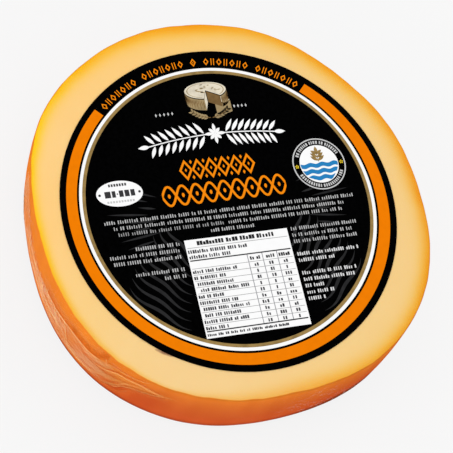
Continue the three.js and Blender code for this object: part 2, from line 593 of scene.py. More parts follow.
# Walks in mm over which each one begins or ends down the side.
LEFT_ENDS = (44, 52)
EARLY_FOOT_BEGINS = (18, 34)
FOLD_SHADE_BEGINS = (12, 26)
LEFT_MOST = 0.9  # the most that the left side's colour covers
STREAK_SCALE = (80, 80, 20)
STREAK_TONES = ((0.3, (0.94, 0.88, 0.86, 1)), (0.7, (1.04, 1.08, 1.08, 1)))
WALK_SCALE = 60
SMEAR_COLOUR = paint(150, 105, 82)
SCATTER = 0.08  # share of light that goes into the cheese and comes out beside
SCATTER_REACH = (1.0, 0.45, 0.15)  # of red, green and blue, times the scale
SCATTER_SCALE = 1.5 * MM


def dye(cream_colour, edge_colour):
    """How strongly the stain at the edge takes away red, green and blue, as a colour from 0 to 1."""
    cream, edge = paint(*cream_colour), paint(*edge_colour)
    return (*(max(0.0, math.log(light / left)) / DYE_SCALE for light, left in zip(cream[:3], edge[:3])), 1.0)


def round_rim(tree, turn, value_of):
    """A colour ramp round the wheel, from a function of the rim table's values after the direction."""
    return ramp(tree, turn, [((degrees + 180) / 360, value_of(*values)) for degrees, *values in RIM])


def spread_of_stain(tree, edge_mm, turn):
    """The stain's strength, 1 at the edge and falling away over the top face."""
    reach = round_rim(tree, turn, lambda cream, edge, spread, down: grey(spread / SPREAD_SCALE))
    inwards = math_node(tree, "MAXIMUM", math_node(tree, "MULTIPLY", edge_mm, -1), 0)
    reaches = math_node(tree, "DIVIDE", inwards, math_node(tree, "MULTIPLY", reach, SPREAD_SCALE))
    fading = math_node(tree, "MULTIPLY", math_node(tree, "POWER", reaches, FADE_POWER), -1)
    return math_node(tree, "EXPONENT", fading)


def stained_cream(tree, place, edge_mm, turn):
    """The top face: blotched cream with the smoke's dye over it."""
    blotch = cloud(tree, place, 26.0, 4.0)
    cream = round_rim(tree, turn, lambda cream, edge, spread, down: paint(*cream))
    uneven = ramp(tree, blotch, ((0.3, (0.99, 0.98, 0.96, 1)), (0.7, (1.0, 1.01, 1.04, 1))))
    cream = mix_colour(tree, 1.0, cream, uneven, "MULTIPLY")
    blotched = map_range(tree, blotch, 0.3, 0.7, 0.8, 1.2, smooth=False)
    stain = math_node(tree, "MULTIPLY", spread_of_stain(tree, edge_mm, turn), blotched)
    dyes = round_rim(tree, turn, lambda cream, edge, spread, down: dye(cream, edge))
    depth = add(tree, "VectorMath", {0: dyes, "Scale": math_node(tree, "MULTIPLY", stain, -DYE_SCALE)},
                operation="SCALE").outputs[0]
    channels = add(tree, "SeparateXYZ", {0: depth}).outputs
    left = [math_node(tree, "EXPONENT", channel) for channel in channels]
    passed = add(tree, "CombineXYZ", {index: value for index, value in enumerate(left)}).outputs[0]
    return mix_colour(tree, 1.0, cream, passed, "MULTIPLY")


def smoked_side(tree, place, edge_mm, leftwards, towards_fold_shade):
    """The side: orange that deepens to the foot, where it is partly painted shade, lighter at the left, with
    upright streaks.
    """
    # The dark foot is painted shade: it starts higher on the right, and less so at the back.
    early_foot = math_node(tree, "MULTIPLY", map_range(tree, leftwards, *RIGHT_COMES_IN, 0, EARLY_FOOT),
                           map_range(tree, edge_mm, *EARLY_FOOT_BEGINS))
    at_back = map_range(tree, towards_fold_shade, *BACK_COMES_IN, 1, FOOT_AT_BACK)
    early_foot = math_node(tree, "MULTIPLY", early_foot, at_back)
    down = math_node(tree, "ADD", edge_mm, early_foot)
    side = ramp(tree, math_node(tree, "DIVIDE", down, WALK_SCALE),
                [(far / WALK_SCALE, paint(*colour, SIDE_LIGHT)) for far, colour in DOWN_THE_SIDE])
    above_foot = map_range(tree, edge_mm, *LEFT_ENDS, 1, 0)
    pale = math_node(tree, "MULTIPLY", map_range(tree, leftwards, *LEFT_COMES_IN, 0, LEFT_MOST), above_foot)
    side = mix_colour(tree, pale, side, LEFT_SIDE)
    tone = mix_colour(tree, map_range(tree, leftwards, *TONE_GOES_OUT), RIGHT_SIDE_TONE, grey(1))
    side = mix_colour(tree, 1.0, side, tone, "MULTIPLY")
    # Painted shade: a redder patch low on the side under the tip of the film's fold.
    deep = math_node(tree, "MULTIPLY", map_range(tree, towards_fold_shade, *FOLD_SHADE_COMES_IN),
                     map_range(tree, edge_mm, *FOLD_SHADE_BEGINS))
    side = mix_colour(tree, 1.0, side, mix_colour(tree, deep, grey(1), FOLD_SHADE_TONE), "MULTIPLY")
    streak = cloud(tree, stretched(tree, place, STREAK_SCALE), 1.0, 3.0)
    return mix_colour(tree, 1.0, side, ramp(tree, streak, STREAK_TONES), "MULTIPLY")


def rind_material():
    material, tree, shader, place = new_material("smoked_rind", 0.7, 0.0)
    centred = from_point(tree, place, AXIS)
    parts = add(tree, "SeparateXYZ", {0: centred}).outputs
    turn = map_range(tree, math_node(tree, "ARCTAN2", parts[1], parts[0]), -math.pi, math.pi, smooth=False)
    leftwards = reach_towards(tree, centred, LEFT_HEADING)
    towards_fold_shade = reach_towards(tree, centred, FOLD_SHADE_HEADING)
    down = round_rim(tree, turn, lambda cream, edge, spread, down: grey((down + 1) / DOWN_SCALE))
    strays = map_range(tree, cloud(tree, place, 90.0, 3.0), 0.25, 0.75, *STRAY, smooth=False)
    stray = math_node(tree, "SUBTRACT", strays, math_node(tree, "MULTIPLY", down, DOWN_SCALE))
    edge_mm = math_node(tree, "ADD", math_node(tree, "DIVIDE", stored(tree, "walk"), MM), stray)

    top = stained_cream(tree, place, edge_mm, turn)
    side = smoked_side(tree, place, edge_mm, leftwards, towards_fold_shade)
    colour = mix_colour(tree, map_range(tree, edge_mm, *TOP_TO_SIDE), top, side)
    colour = mix_colour(tree, smear_mask(tree, place), colour, SMEAR_COLOUR)
    tree.links.new(colour, shader.inputs["Base Color"])

    dimples = math_node(tree, "MULTIPLY", cloud(tree, place, 240.0, 3.0), 2.0)
    pores = cloud(tree, place, 900.0, 2.0)
    roughen(tree, shader, math_node(tree, "ADD", dimples, pores), 0.35, 0.06 * MM)
    shader.inputs["Subsurface Weight"].default_value = SCATTER
    shader.inputs["Subsurface Radius"].default_value = SCATTER_REACH
    shader.inputs["Subsurface Scale"].default_value = SCATTER_SCALE
    return material


# %% The brown smear beside the label
SMEAR_START = Vector((PRINT_MIDDLE.x - 65.8 * MM, PRINT_MIDDLE.y - 82.0 * MM, 0))
SMEAR_END = Vector((PRINT_MIDDLE.x - 54.6 * MM, PRINT_MIDDLE.y - 88.4 * MM, 0))
SMEAR_HALF = 1.5 * MM


def smear_mask(tree, place):
    """Nearness to a short line on the top face, ragged by noise."""
    along = (SMEAR_END - SMEAR_START).normalized()
    across = Vector((-along.y, along.x, 0))
    half_length = (SMEAR_END - SMEAR_START).length / 2
    off = from_point(tree, place, (SMEAR_START + SMEAR_END) / 2)
    lengthways, sideways = (
        math_node(tree, "POWER", math_node(tree, "ABSOLUTE", reach_towards(tree, off, heading)), 2)
        for heading in (along / half_length, across / SMEAR_HALF))
    squares = math_node(tree, "ADD", lengthways, sideways)
    edge = math_node(tree, "ADD", squares, cloud(tree, place, 420.0, 3.0))
    height = add(tree, "SeparateXYZ", {0: place}).outputs[2]
    on_top = map_range(tree, height, WHEEL_HEIGHT - 3 * MM, WHEEL_HEIGHT - 2 * MM)
    return math_node(tree, "MULTIPLY", map_range(tree, edge, 1.7, 0.5, 0, 0.9), on_top)


cheese = make_object("cheese", cheese_work, rind_material(), smooth=True)
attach(cheese, "root")
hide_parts("wheel")

# %% [markdown]
# ## The clear film
# Shrunk film lies on the cheese like a second skin, so it is spun from the same section, on the true
# surface. It could be glass, but so thin a sheet bends no light. Mixing a little of a pale shader into
# a transparent one shows it better: a very faint veil, and thin pale threads where the side is creased,
# which are painted glints of the creases.

# %% Model the film
FILM_STEP = 2.0 * MM
FILM_TURNS = 432
CRINKLE = 0.05 * MM
FILM_TINT = (1.0, 0.93, 0.84, 1)
CLEAR_VEIL = 0.003  # share of light that the smooth film keeps back
# The creases show as pale threads, painted glints.
CREASE_VEIL = 0.16  # and a crease where the film is loosest
CREASE_SCALE = (70, 70, 190)  # drawn out round the wheel
CREASE_WIDTH = 0.022


def model_film():
    work, layer = spun_wheel(FILM_STEP, FILM_TURNS, 0.0)
    for corner in work.verts:
        x, y, height = corner.co
        walk = corner[layer]
        on_side = smoothstep(walk, -2 * MM, 4 * MM) * smoothstep(height, 0, 6 * MM)
        crinkled = creased(x * 120, y * 120, height * 60, 2)
        relief = on_side * CRINKLE * (crinkled - 1) + rim_wander(corner.co, walk)
        corner.co = placed(x, y, height, 1.0, relief)
    return work


def threads(tree, place, scale, width):
    """Thin lines that wander, where a stretched noise passes through its middle value."""
    wander = cloud(tree, stretched(tree, place, scale), 1.0, 3.0, 0.5)
    off = math_node(tree, "ABSOLUTE", math_node(tree, "SUBTRACT", wander, 0.5))
    return map_range(tree, off, 0.0, width, 1.0, 0.0)


def see_through(tree, shader, veil):
    """Shows the shader only by the share 'veil', and lets the rest of the light through."""
    clear = add(tree, "BsdfTransparent")
    mixed = add(tree, "MixShader", {0: veil, 1: clear.outputs[0], 2: shader.outputs[0]})
    tree.links.new(mixed.outputs[0], tree.nodes["Material Output"].inputs["Surface"])


def film_material():
    material, tree, shader, place = new_material("clear_film", 0.3, 0.4)
    shader.inputs["Base Color"].default_value = FILM_TINT
    parts = add(tree, "SeparateXYZ", {0: place}).outputs
    on_side = map_range(tree, parts[2], WHEEL_HEIGHT - 3 * MM, WHEEL_HEIGHT - 9 * MM)
    creases = threads(tree, place, CREASE_SCALE, CREASE_WIDTH)
    loose = map_range(tree, cloud(tree, place, 22.0, 1.0), 0.5, 0.75, 0.0, CREASE_VEIL)
    glints = math_node(tree, "MULTIPLY", creases, loose)
    veil = math_node(tree, "ADD", math_node(tree, "MULTIPLY", glints, on_side), CLEAR_VEIL)
    roughen(tree, shader, cloud(tree, place, 160.0, 3.0), 0.4, 0.2 * MM)
    see_through(tree, shader, veil)
    return material


film = make_object("clear_film", model_film(), film_material(), smooth=True)
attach(film, "root")
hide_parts("wheel")
print("film mesh has", len(film.data.polygons), "faces")

# %% [markdown]
# ## The gathered fold of the film
# Where the bag's end was gathered it lies flat on the side as a milky, crinkled panel that runs out
# to a tip. Sheets laid over each other would darken one another, so the panel and all its pleats are
# one fine sheet, a grid laid round that part of the side. Two values on its points say how milky the
# film is there, and how pale or how shaded. Its material reads them.

# %% Lay out the fold's sheet
SHEET_FIRST, SHEET_LAST = 160, 244  # directions in degrees
SHEET_LOW, SHEET_HIGH = 11, 57.8  # heights in mm
SHEET_COLUMNS = 460
SHEET_ROWS = 116
MILKY = (  # direction in degrees, lower edge and upper edge in mm, strength
    (160.5, 19, 50, 0.0), (163, 20, 55, 0.8), (167, 22, 54, 0.6), (171, 24, 50, 0.5),
    (176, 24, 41, 0.7), (180, 23, 38, 1.0), (185, 22.5, 40, 1.1), (190, 22, 41.5, 1.2),
    (195, 20, 42.8, 1.25), (200, 16, 43.8, 1.1), (205, 13.5, 45, 1.0), (211, 13.5, 45.8, 1.0),
    (216, 18, 46.4, 1.1), (219, 21, 47.4, 1.1), (221.5, 22.5, 49.2, 1.0), (224.6, 23, 50.2, 0.9),
    (226, 28, 50, 0.75), (228.5, 37.4, 50, 0.6), (230.5, 41, 50.2, 0.55), (233, 42.8, 50.4, 0.45),
    (237.5, 45.4, 48, 0.35), (242.6, 44.8, 45.4, 0.3),
)
FOLD_LIFT = 0.08 * MM
RIDGE = 0.28 * MM
FOLD_THICKNESS = 0.06 * MM
MM_PER_DEGREE = math.radians(EDGE_RADIUS / MM)


def spot_place(column, row):
    """Direction in degrees and height in mm of one spot of the sheet's grid."""
    return (SHEET_FIRST + (SHEET_LAST - SHEET_FIRST) * column / SHEET_COLUMNS,
            SHEET_LOW + (SHEET_HIGH - SHEET_LOW) * row / SHEET_ROWS)


def fold_strip(degrees, height):
    """Share of the way along the fold, and across it from its lower hem to its upper one."""
    first, last = FOLD[0][0], FOLD[-1][0]
    along = (degrees - first) / (last - first)
    low, high = along_table(FOLD, min(max(degrees, first), last - 0.01))
    spread = 1.6 * (1 - smoothstep(along, 0.75, 1.0))
    return along, (height - low + spread) / (high - low + 2 * spread)


def fold_lift(degrees, height):
    """How far the panel stands off the film under it: long creases with fine crumples between."""
    along, across = fold_strip(degrees, height)
    if not (0 < across < 1 and 0 < along < 1):
        return FOLD_LIFT
    hem = smoothstep(min(across, 1 - across), 0.0, 0.12) * smoothstep(along, 0.0, 0.08)
    hem *= 1 - smoothstep(along, 0.94, 1.0)
    creases = creased(along * 12, across * 6, 3.1, 2.2)
    crumple = creased(along * 70, across * 9, 0.7, 2.2)
    cross = creased(along * 130, across * 26, 5.3, 2.4)
    loose = 0.35 + 0.65 * (1 - smoothstep(along, 0.15, 0.75))
    return FOLD_LIFT + RIDGE * hem * (0.5 + 0.6 * creases + 0.3 * crumple + 0.35 * loose * cross)


def milk_at(degrees, height):
    """How milky the gathered film is, 0 to 1: its lower side fades slowly, its upper side ends sharply."""
    found = along_table(MILKY, degrees)
    if found is None:
        return 0.0
    low, high, strength = found
    fade = 1.6 + 4 * (1 - smoothstep(degrees, 200, 220))
    return strength * smoothstep(height - low, 0, fade) * smoothstep(high - height, 0, 2.5)


def side_place(degrees, height, lift):
    """A point of the film on the wheel's side, lifted off it, that follows the upper edge's rounding."""
    angle = math.radians(degrees)
    into_round = max(0.0, height - (RIM_HEIGHT - TOP_ROUND))
    flat = side_radius(height) - TOP_ROUND + math.sqrt(max(0.0, TOP_ROUND ** 2 - into_round ** 2))
    x, y = flat * math.cos(angle), flat * math.sin(angle)
    wander = rim_wander(Vector((x, y, height)), EDGE_HEIGHT - height)
    return placed(x, y, height, 1.0, lift + wander)


# %% [markdown]
# ## Pleats and crumples
# The fold is bounded and crossed by pleats, where the film is pinched double. Each shows as a pale
# welt with a line of shade on its upper side. The long ones run along smooth lines through listed
# stations, and the short crumples round the fold's loose end are drawn at random, seeded. A pleat is
# stamped on the spots of the sheet's grid that lie near its line: as a rise, and as a value that says
# how pale or how dark it makes them.
# The pale welts are partly painted highlights along the ridges, their lines of shade are painted shade, the
# crumples are pale painted glints, and broad bands of painted shadow lie above the fold and below its hem.

# %% Lay out the pleats
# A pleat's pale welt is partly a painted highlight along its ridge, and its line of shade is painted shade.
PLEATS = (  # width in mm, rise in mm, paleness or shade, then stations: direction in degrees, height in mm
    (1.6, 0.40, 0.9, ((243, 44.4), (240, 46), (237.5, 45), (235.5, 43.5), (233, 42.3), (230.5, 40.5),
                      (228.5, 37), (227, 30.5), (225.6, 24), (224.3, 22.2), (222, 22.2), (219.5, 21.8),
                      (216, 19.4))),
    (1.5, 0.40, 1.3, ((190, 40.3), (194, 41.8), (198, 42.6), (201, 43.1), (204.5, 44), (208, 45),
                      (212, 45), (215, 45.1), (217, 45.7), (219, 46.8), (221.2, 48.9))),
    (1.9, 0.45, 0.9, ((215, 38.6), (217.5, 39), (219.5, 40.4), (221.3, 42.2), (223, 45), (225, 47.2),
                      (227, 48.3), (230, 49), (233, 48.7), (236, 47.4), (239, 46.2), (242, 44.8))),
    (1.4, 0.35, 0.9, ((219.5, 47.4), (221.2, 48.9), (223.5, 50.6), (226.5, 51.3), (228.5, 51.9),
                      (230.5, 53), (232.5, 55), (234.5, 57))),
    (1.4, 0.30, 0.9, ((220.5, 53.4), (220.9, 51), (221.3, 48.6))),
    (2.4, 0.30, 0.45, ((223.6, 24.6), (225.6, 31), (227.4, 40), (229, 43.8), (231, 46), (233.4, 46.8))),
    (4.5, 0.35, 0.8, ((180, 39), (185, 38.4), (188, 37), (191, 35.4), (194, 33), (197, 31.6), (200, 31.6),
                      (203, 32.8), (206, 35.4))),
    (3.0, 0.25, 0.5, ((160.5, 40), (164, 38), (168, 35))),
    (1.8, 0.30, 0.8, ((205.4, 42.4), (206.6, 40), (207.2, 35.6), (207.7, 31), (209.2, 26))),
    (2.2, 0.30, 0.8, ((201.6, 41.8), (201.5, 39), (202, 36), (203, 33))),
    (2.6, 0.30, 0.6, ((205, 30), (208, 26.6), (211, 24), (214, 22.4), (217, 24), (219.6, 28.2), (221.8, 32))),
    (1.7, 0.25, 0.5, ((209, 42.6), (212, 41), (214, 37), (215, 32))),
    # The last three rows are broad bands of painted shadow of the fold, on the side above it and below its
    # hem.
    (10, 0.0, -0.2, ((190, 42.6), (196, 44), (200, 44.6), (204.5, 45.6), (209, 46.8), (213, 46.6),
                     (217, 47.4))),
    (11, 0.0, -0.4, ((203, 45.4), (207, 46.4), (211, 46.8), (215, 46.8), (218, 47.8), (220, 50),
                     (220.8, 54), (221, 59), (221.2, 66))),
    (8, 0.0, -0.45, ((242, 43.8), (239, 44.6), (237, 43.4), (235, 41.8), (232.5, 40.6), (230, 38.6),
                     (228.3, 35.2), (226.8, 29.4), (225.2, 22.4), (222.5, 20.6), (219.5, 20), (216, 17.6),
                     (213, 12))),
)
WIDEST_SHADED = 2.2  # a wider pleat in mm is too soft to throw a line of shade
CRUMPLES = 34
CRUMPLE_SEED = 5
CRUMPLES_START = 172  # directions in degrees between which they lie
CRUMPLES_SPAN = 36
CRUMPLE_RISE = 0.3


def on_line(stations, share):
    """A place on the smooth line through the stations, by the share of the way along it."""
    last = len(stations) - 1
    reach = share * last
    index = min(int(reach), last - 1)
    nearby = range(index - 1, index + 3)
    before, start, end, after = (Vector(stations[min(max(at, 0), last)]) for at in nearby)
    part = reach - index
    bend = 2 * before - 5 * start + 4 * end - after
    twist = 3 * start - before - 3 * end + after
    return start + 0.5 * ((end - before) * part + bend * part ** 2 + twist * part ** 3)


def walk_line(stations):
    """Places along the line a quarter of a millimetre apart, each with its heading and taper."""
    run = Vector(stations[-1]) - Vector(stations[0])
    steps = max(12, round(4 * math.hypot(run.x * MM_PER_DEGREE, run.y)))
    for step in range(steps + 1):
        share = step / steps
        ahead = on_line(stations, min(1.0, share + 0.01)) - on_line(stations, max(0.0, share - 0.01))
        heading = Vector((ahead.x * MM_PER_DEGREE, ahead.y)).normalized()
        yield on_line(stations, share), heading, smoothstep(min(share, 1 - share), 0.0, 0.22)


def spots_round(point, reach):
    """Spots of the grid no further than the reach in mm from a place, up and down or sideways."""
    columns_per_degree = SHEET_COLUMNS / (SHEET_LAST - SHEET_FIRST)
    rows_per_mm = SHEET_ROWS / (SHEET_HIGH - SHEET_LOW)
    column = (point.x - SHEET_FIRST) * columns_per_degree
    row = (point.y - SHEET_LOW) * rows_per_mm
    half_columns = reach / MM_PER_DEGREE * columns_per_degree
    half_rows = reach * rows_per_mm
    for index in range(math.ceil(column - half_columns), math.floor(column + half_columns) + 1):
        for level in range(math.ceil(row - half_rows), math.floor(row + half_rows) + 1):
            yield index, level


def welt_at(across, shaded):
    """How strong a pleat is beside its line: a round welt, or a band of shade with one sharp side."""
    if shaded:
        return math.exp(-(across / (0.1 if across < 0 else 0.5)) ** 2)
    return math.exp(-((across + 0.1) / 0.28) ** 2)


def stamp_pleat(marks, width, rise, paleness, stations):
    """Stamps one pleat: every spot near it keeps the strongest paleness or shade, and the highest rise."""
    nearest = {}
    for point, heading, taper in walk_line(stations):
        for spot in spots_round(point, 1.1 * width):
            degrees, height = spot_place(*spot)
            away = Vector(((degrees - point.x) * MM_PER_DEGREE, height - point.y))
            if spot not in nearest or away.length < abs(nearest[spot][0]):
                above = heading.x * away.y > heading.y * away.x
                nearest[spot] = (away.length if above else -away.length), taper
    for spot, (off, taper) in nearest.items():
        welt = welt_at(off / width, paleness < 0)
        shade = math.exp(-((off / width - 0.42) / 0.2) ** 2) if width < WIDEST_SHADED else 0
        value = paleness * taper * (welt - 0.6 * shade)
        pale, lift = marks.get(spot, (0.0, 0.0))
        marks[spot] = max(pale, value, key=abs), max(lift, rise * MM * taper * welt)


def crumple_lines():
    """Short slanting creases in a row along the upper side of the fold's loose left end, stamped pale as
    painted glints.
    """
    draw = random.Random(CRUMPLE_SEED)
    for index in range(CRUMPLES):
        degrees = CRUMPLES_START + CRUMPLES_SPAN * (index + draw.uniform(0, 0.8)) / CRUMPLES
        low = along_table(MILKY, degrees)[1] - draw.uniform(1.5, 5)
        reach, climb = draw.uniform(0.2, 0.8), draw.uniform(1.2, 3.4)
        stations = ((degrees - reach, low + climb), (degrees, low + 0.4 * climb), (degrees + reach, low))
        yield draw.uniform(1.2, 2.0), CRUMPLE_RISE, draw.uniform(0.4, 1.1), stations


def all_marks():
    marks = {}
    for facts in (*PLEATS, *crumple_lines()):
        stamp_pleat(marks, *facts)
    return marks


pleat_marks = all_marks()
print("the pleats mark", len(pleat_marks), "spots")

# %% Model the fold and its pleats
MILK_TINTS = (  # share of the way along the fold, colour
    (0.48, (0.95, 0.64, 0.42, 1)),
    (0.72, (0.90, 0.60, 0.29, 1)),
    (0.80, (0.84, 0.50, 0.12, 1)),
)
# The bright threads and the pale welts are partly painted highlights: glints on the crumples and along the
# pleats' ridges.
MILK_BRIGHT = (1.0, 0.70, 0.46, 1)
PLEAT_TINTS = (
    (0.50, (1.0, 0.64, 0.32, 1)),
    (0.76, (1.0, 0.52, 0.17, 1)),
)
PLEAT_SHADE = (0.64, 0.085, 0.012, 1)
MILK_VEIL = (0.04, 0.19)  # share of light that the milky film keeps back, at least and at most
PLEAT_VEIL = (0.26, 0.46)  # the same for the pleats
THREAD_VEIL = 0.07
# Scales along and across the fold of its milky streams, of long thin veins and of short ones.
STREAMS = (9, 5, 1)
VEINS = (7, 5, 1)
CRUMPLED = (48, 14, 1)
LOOSE_GOES_OUT = (0.35, 0.65)  # shares of the way along the fold between which the short ones end
FAINTEST = 0.004  # a face whose points are all fainter than this is left out


def model_fold(marks):
    work = bmesh.new()
    bmesh.ops.create_grid(work, x_segments=SHEET_COLUMNS, y_segments=SHEET_ROWS, size=0.5)
    strips = work.loops.layers.uv.new("fold")
    milkiness = work.verts.layers.float.new("milk")
    paleness = work.verts.layers.float.new("pale")
    strip_places = {}
    for corner in work.verts:
        spot = round((corner.co.x + 0.5) * SHEET_COLUMNS), round((corner.co.y + 0.5) * SHEET_ROWS)
        degrees, height = spot_place(*spot)
        pale, rise = marks.get(spot, (0.0, 0.0))
        corner[milkiness] = milk_at(degrees, height)
        corner[paleness] = pale
        strip_places[corner] = fold_strip(degrees, height)
        corner.co = side_place(degrees, height * MM, fold_lift(degrees, height) + rise)
    for face in work.faces:
        for loop in face.loops:
            loop[strips].uv = strip_places[loop.vert]
    empty = [face for face in work.faces
             if all(corner[milkiness] + abs(corner[paleness]) < FAINTEST for corner in face.verts)]
    bmesh.ops.delete(work, geom=empty, context="FACES")
    bmesh.ops.solidify(work, geom=work.faces[:], thickness=FOLD_THICKNESS)
    bmesh.ops.recalc_face_normals(work, faces=work.faces)
    return work


def fold_material():
    material, tree, shader, place = new_material("milky_film", 0.6, 0.0)
    milky = stored(tree, "milk")
    pale = stored(tree, "pale")
    strip = add(tree, "UVMap", uv_map="fold").outputs[0]
    along = add(tree, "SeparateXYZ", {0: strip}).outputs[0]
    streams = cloud(tree, stretched(tree, strip, STREAMS), 1.0, 3.0, 0.6)
    veins = math_node(tree, "MULTIPLY", threads(tree, strip, VEINS, 0.03), 0.5)
    loose = map_range(tree, along, *LOOSE_GOES_OUT, 1.0, 0.0)
    # The crumples at the loose end are pale painted glints.
    crumple = math_node(tree, "MULTIPLY", threads(tree, strip, CRUMPLED, 0.06), loose)
    bright = math_node(tree, "MULTIPLY", math_node(tree, "ADD", veins, crumple), THREAD_VEIL)
    thick = map_range(tree, streams, 0.34, 0.66, *MILK_VEIL)
    milk = math_node(tree, "MULTIPLY", math_node(tree, "ADD", thick, bright), milky)

    welts = map_range(tree, cloud(tree, place, 260.0, 2.0), 0.3, 0.65, *PLEAT_VEIL)
    pleated = math_node(tree, "MULTIPLY", pale, welts)
    strength = math_node(tree, "ADD", milk, math_node(tree, "ABSOLUTE", pleated), clamp=True)

    milk_tint = ramp(tree, along, MILK_TINTS)
    tint = mix_colour(tree, math_node(tree, "MULTIPLY", bright, 8, clamp=True), milk_tint, MILK_BRIGHT)
    tint = mix_colour(tree, map_range(tree, pale, 0.0, 0.35), tint, ramp(tree, along, PLEAT_TINTS))
    tint = mix_colour(tree, map_range(tree, pale, 0.0, -0.3), tint, PLEAT_SHADE)
    tree.links.new(tint, shader.inputs["Base Color"])
    see_through(tree, shader, strength)
    return material


film_fold = make_object("film_fold", model_fold(pleat_marks), fold_material(), smooth=True)
film_fold.visible_shadow = False  # milky film scatters light on to the cheese under it
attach(film_fold, "root")
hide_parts("wheel")
print("fold mesh has", len(film_fold.data.polygons), "faces")

# %% [markdown]
# ## The label's paper
# The label's solid already has the right shape, so it stays and only gets its finish: smooth black
# printed paper. A black surface shows every reflection, so its gloss is kept very low, and a little
# grain in its colour and roughness keeps it from looking like a hole.

# %% Finish the label's paper
PAPER_BLACK = paint(0.5, 0.5, 0.5)
PAPER_SHEEN = paint(3, 3, 3.5)


def paper_material():
    material, tree, shader, place = new_material("black_paper", 0.5, 0.004)
    grain = cloud(tree, place, 500.0, 3.0)
    tree.links.new(ramp(tree, grain, ((0.35, PAPER_BLACK), (0.7, PAPER_SHEEN))), shader.inputs["Base Color"])
    tree.links.new(map_range(tree, grain, 0.3, 0.7, 0.42, 0.6), shader.inputs["Roughness"])
    roughen(tree, shader, grain, 0.15, 0.02 * MM)
    return material


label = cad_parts["label"]
label.data.materials.clear()
label.data.materials.append(paper_material())

# %% [markdown]
# ## Ink as thin shapes
# Print could be a pattern in the label's own material, but fine edges in a shader blur once the
# finish is baked. So each motif is cut from flat shapes, drawn in millimetres from the label's
# middle, and then given the thickness of a heavy ink film. Inks that lie over others stand a step
# higher, so no two tops share a plane.

# %% Helpers that draw flat shapes
INK_STEP = 0.03
INK_ROOT = 0.02
LABEL_FRAME = Matrix.Translation((PRINT_MIDDLE.x, PRINT_MIDDLE.y, LABEL_TOP)) @ Matrix.Scale(MM, 4)
DRIFT_START = 89.0  # mm from the print's middle


def ink(name, colour, roughness=0.5, depth=0.05):
    """A printed colour, slightly uneven as ink is on paper."""
    material, tree, shader, place = new_material(name, roughness, 0.006)
    spread = cloud(tree, place, 260.0, 4.0)
    thin = tuple(part * (1 - depth) for part in colour[:3]) + (1,)
    tree.links.new(ramp(tree, spread, ((0.3, thin), (0.6, colour))), shader.inputs["Base Color"])
    roughen(tree, shader, spread, 0.1, 0.02 * MM)
    return material


def patch(work, columns, rows, where):
    """A flat patch whose points are placed by a function of their two shares, 0 to 1."""
    for corner in bmesh.ops.create_grid(work, x_segments=columns, y_segments=rows, size=0.5)["verts"]:
        corner.co = Vector((*where(corner.co.x + 0.5, corner.co.y + 0.5), 0))


def bar(work, left, right, low, high):
    """An upright rectangle."""
    patch(work, 1, 1, lambda across, up: (left + (right - left) * across, low + (high - low) * up))


def ring(work, inner, outer, start=0, end=360, middle=(0, 0), steps=240):
    """A ring, or the part of it between two directions in degrees."""
    heading = Vector((math.cos(math.radians(start)), math.sin(math.radians(start)), 0))
    centre = Vector((*middle, 0))
    ends = [work.verts.new(centre + heading * radius) for radius in (inner, outer)]
    bmesh.ops.spin(work, geom=ends + [work.edges.new(ends)], cent=centre, axis=(0, 0, 1),
                   angle=math.radians(end - start), steps=steps, use_merge=end - start == 360)


def flat_place(x, y, turn=0.0, width=1.0, height=1.0):
    """The matrix that sizes, turns and places a unit shape."""
    sized = Matrix.Diagonal((width, height, 1, 1))
    return Matrix.Translation((x, y, 0)) @ Matrix.Rotation(math.radians(turn), 4, "Z") @ sized


def disc(work, x, y, width, height=None, sides=48, turn=0.0, stroke=None):
    """A disc, an oval or a lozenge (four sides), left open inside a stroke if one is given."""
    place = flat_place(x, y, turn, width, height or width)
    made = bmesh.ops.create_circle(work, cap_ends=True, radius=0.5, segments=sides, matrix=place)
    if stroke:
        face = made["verts"][0].link_faces[0]
        bmesh.ops.inset_region(work, faces=[face], thickness=stroke, use_even_offset=True, use_boundary=True)
        bmesh.ops.delete(work, geom=[face], context="FACES_ONLY")


def leaf(work, x, y, length, width, turn, belly=0.4):
    """A pointed leaf that starts at x, y and runs in the direction of turn."""
    def where(along, across):
        half = width * math.sin(math.pi * along ** (0.5 + belly)) * (across - 0.5)
        heading = math.radians(turn)
        return (x + length * along * math.cos(heading) - half * math.sin(heading),
                y + length * along * math.sin(heading) + half * math.cos(heading))
    patch(work, 8, 2, where)


def on_ring(radius, degrees):
    return radius * math.cos(math.radians(degrees)), radius * math.sin(math.radians(degrees))


def drifted(place):
    """Near the paper's edge the print strays towards the paper's own middle."""
    share = (place.xy.length - DRIFT_START) / (LABEL_RADIUS / MM - DRIFT_START)
    return place - PRINT_OFF / MM * max(0.0, share)


def print_ink(name, level, material, *drawings):
    """Draws flat shapes, makes them one thin slab rooted in the paper, and lays it on the label."""
    work = bmesh.new()
    for drawing in drawings:
        drawing(work)
    for corner in work.verts:
        corner.co = drifted(corner.co)
    bmesh.ops.remove_doubles(work, verts=work.verts, dist=0.0005)
    raised = bmesh.ops.extrude_face_region(work, geom=work.faces[:])["geom"]
    tops = [corner for corner in raised if isinstance(corner, bmesh.types.BMVert)]
    bmesh.ops.translate(work, verts=work.verts, vec=(0, 0, -INK_ROOT))
    bmesh.ops.translate(work, verts=tops, vec=(0, 0, INK_ROOT + INK_STEP * level))
    bmesh.ops.recalc_face_normals(work, faces=work.faces)
    bmesh.ops.transform(work, matrix=LABEL_FRAME, verts=work.verts)
    piece = make_object(name, work, material)
    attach(piece, "root")
    print(name, "has", len(piece.data.polygons), "faces")


